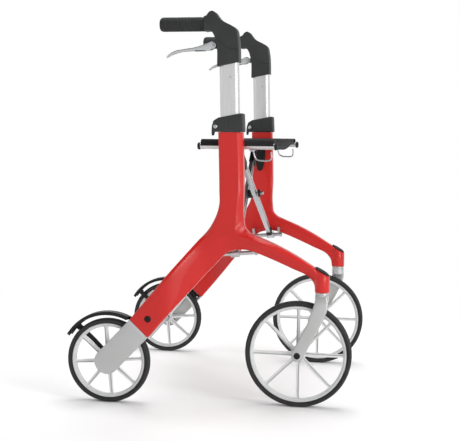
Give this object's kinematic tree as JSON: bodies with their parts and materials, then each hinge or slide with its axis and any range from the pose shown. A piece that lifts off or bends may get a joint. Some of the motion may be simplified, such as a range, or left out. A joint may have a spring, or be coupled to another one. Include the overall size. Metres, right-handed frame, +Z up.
{
  "type": "rollator walker",
  "caption": "Folding walker with forked side frames, swivelling front wheels, fixed rear wheels, fabric seat and height-adjustable handles with brake levers.",
  "frame": {"origin": "on the floor, in the middle of the overall length and width", "axes": "+X forward, the way the user walks; +Y to the user's left; +Z up"},
  "size_m": [0.6698, 0.61, 0.9162],
  "materials": {
    "red_paint": "gloss",
    "silver_tube": "satin anodised",
    "silver_paint": "satin",
    "bright_metal": "polished",
    "steel": "satin",
    "dark_plastic": "satin",
    "black_plastic": "satin",
    "grey_plastic": "satin",
    "rubber": "matte",
    "tyre": "matte",
    "fabric": "woven"
  },
  "bodies": {
    "right_frame": {"right_side_frame": "red_paint", "right_head_cap": "black_plastic", "right_rear_leg_plate": "silver_paint", "right_leg_bolt": "black_plastic", "right_mudguard": "black_plastic", "right_rear_axle": "steel", "right_height_collar": "dark_plastic", "right_height_lever_screw": "steel", "right_lower_rail": "bright_metal", "right_rail_saddle": "black_plastic"},
    "right_handle": {"right_handle_tube": "silver_tube", "right_handle_bracket": "dark_plastic", "right_grip": "rubber", "right_brake_lever_pin": "steel"},
    "right_brake_lever_body": {"right_brake_lever": "bright_metal"},
    "right_height_lever_body": {"right_height_lever": "dark_plastic"},
    "right_brake_shoe_body": {"right_brake_shoe": "black_plastic"},
    "right_caster": {"right_fork": "silver_paint", "right_front_axle": "black_plastic"},
    "right_front_wheel": {"right_front_rim": "grey_plastic", "right_front_tyre": "tyre"},
    "right_rear_wheel": {"right_rear_rim": "grey_plastic", "right_rear_tyre": "tyre"},
    "left_frame": {"left_side_frame": "red_paint", "left_head_cap": "black_plastic", "left_rear_leg_plate": "silver_paint", "left_leg_bolt": "black_plastic", "left_mudguard": "black_plastic", "left_rear_axle": "steel", "left_height_collar": "dark_plastic", "left_height_lever_screw": "steel", "left_lower_rail": "bright_metal", "left_rail_saddle": "black_plastic"},
    "left_handle": {"left_handle_tube": "silver_tube", "left_handle_bracket": "dark_plastic", "left_grip": "rubber", "left_brake_lever_pin": "steel"},
    "left_brake_lever_body": {"left_brake_lever": "bright_metal"},
    "left_height_lever_body": {"left_height_lever": "dark_plastic"},
    "left_brake_shoe_body": {"left_brake_shoe": "black_plastic"},
    "left_caster": {"left_fork": "silver_paint", "left_front_axle": "black_plastic"},
    "left_front_wheel": {"left_front_rim": "grey_plastic", "left_front_tyre": "tyre"},
    "left_rear_wheel": {"left_rear_rim": "grey_plastic", "left_rear_tyre": "tyre"},
    "cross_rear": {"cross_tube_rear": "bright_metal", "cross_spacer": "black_plastic", "cross_pivot_bolt": "steel", "left_seat_rail": "silver_tube", "left_seat_rail_cap_front": "black_plastic", "left_seat_rail_cap_rear": "black_plastic", "left_bag_hook": "steel"},
    "cross_front": {"cross_tube_front": "bright_metal", "right_seat_rail": "silver_tube", "right_seat_rail_cap_front": "black_plastic", "right_seat_rail_cap_rear": "black_plastic", "right_bag_hook": "steel", "seat_fabric": "fabric"}
  },
  "joints": [
    {"name": "fold", "type": "hinge", "parent": "right_frame", "child": "cross_rear", "pos_m": [0.06591, -0.213, 0.3555], "axis": [0.9962, 0, 0.0872], "range_deg": [0, 41.5], "deforming": ["seat_fabric"]},
    {"name": "cross_pivot", "type": "hinge", "parent": "cross_rear", "child": "cross_front", "pos_m": [0.05475, 0, 0.48305], "axis": [0.9962, 0, 0.0872], "range_deg": [-83, 0]},
    {"name": "left_lower_pivot", "type": "hinge", "parent": "cross_front", "child": "left_frame", "pos_m": [0.06591, 0.213, 0.3555], "axis": [0.9962, 0, 0.0872], "range_deg": [0, 41.5]},
    {"name": "right_handle_height", "type": "slide", "parent": "right_frame", "child": "right_handle", "axis": [-0.0262, 0, 0.9997], "range_m": [-0.11, 0]},
    {"name": "right_height_lever_hinge", "type": "hinge", "parent": "right_frame", "child": "right_height_lever_body", "pos_m": [0.01356, -0.24, 0.653], "axis": [0, 1, 0], "range_deg": [0, 80]},
    {"name": "right_brake", "type": "hinge", "parent": "right_handle", "child": "right_brake_lever_body", "pos_m": [0.00491, -0.24, 0.838], "axis": [0, 1, 0], "range_deg": [-22, 16], "stiffness_Nm_per_rad": 2},
    {"name": "right_brake_shoe_hinge", "type": "hinge", "parent": "right_frame", "child": "right_brake_shoe_body", "pos_m": [-0.14481, -0.283, 0.16252], "axis": [0, 1, 0], "range_deg": [-3, 4]},
    {"name": "right_caster_swivel", "type": "hinge", "parent": "right_frame", "child": "right_caster", "pos_m": [0.26391, -0.234, 0.262], "axis": [0, 0, 1], "continuous": true},
    {"name": "right_front_wheel_spin", "type": "hinge", "parent": "right_caster", "child": "right_front_wheel", "pos_m": [0.20991, -0.231, 0.125], "axis": [0, 1, 0], "continuous": true},
    {"name": "right_rear_wheel_spin", "type": "hinge", "parent": "right_frame", "child": "right_rear_wheel", "pos_m": [-0.23409, -0.283, 0.1], "axis": [0, 1, 0], "continuous": true},
    {"name": "left_handle_height", "type": "slide", "parent": "left_frame", "child": "left_handle", "axis": [-0.0262, 0, 0.9997], "range_m": [-0.11, 0]},
    {"name": "left_height_lever_hinge", "type": "hinge", "parent": "left_frame", "child": "left_height_lever_body", "pos_m": [0.01356, 0.24, 0.653], "axis": [0, 1, 0], "range_deg": [0, 80]},
    {"name": "left_brake", "type": "hinge", "parent": "left_handle", "child": "left_brake_lever_body", "pos_m": [0.00491, 0.24, 0.838], "axis": [0, 1, 0], "range_deg": [-22, 16], "stiffness_Nm_per_rad": 2},
    {"name": "left_brake_shoe_hinge", "type": "hinge", "parent": "left_frame", "child": "left_brake_shoe_body", "pos_m": [-0.14481, 0.283, 0.16252], "axis": [0, 1, 0], "range_deg": [-3, 4]},
    {"name": "left_caster_swivel", "type": "hinge", "parent": "left_frame", "child": "left_caster", "pos_m": [0.26391, 0.234, 0.262], "axis": [0, 0, 1], "continuous": true},
    {"name": "left_front_wheel_spin", "type": "hinge", "parent": "left_caster", "child": "left_front_wheel", "pos_m": [0.20991, 0.231, 0.125], "axis": [0, 1, 0], "continuous": true},
    {"name": "left_rear_wheel_spin", "type": "hinge", "parent": "left_frame", "child": "left_rear_wheel", "pos_m": [-0.23409, 0.283, 0.1], "axis": [0, 1, 0], "continuous": true}
  ],
  "couplings": [
    {"joint": "cross_pivot", "follows": "fold", "ratio": -2},
    {"joint": "left_lower_pivot", "follows": "fold", "ratio": 1},
    {"joint": "right_brake_shoe_hinge", "follows": "right_brake", "ratio": -0.17},
    {"joint": "left_brake_shoe_hinge", "follows": "left_brake", "ratio": -0.17}
  ]
}
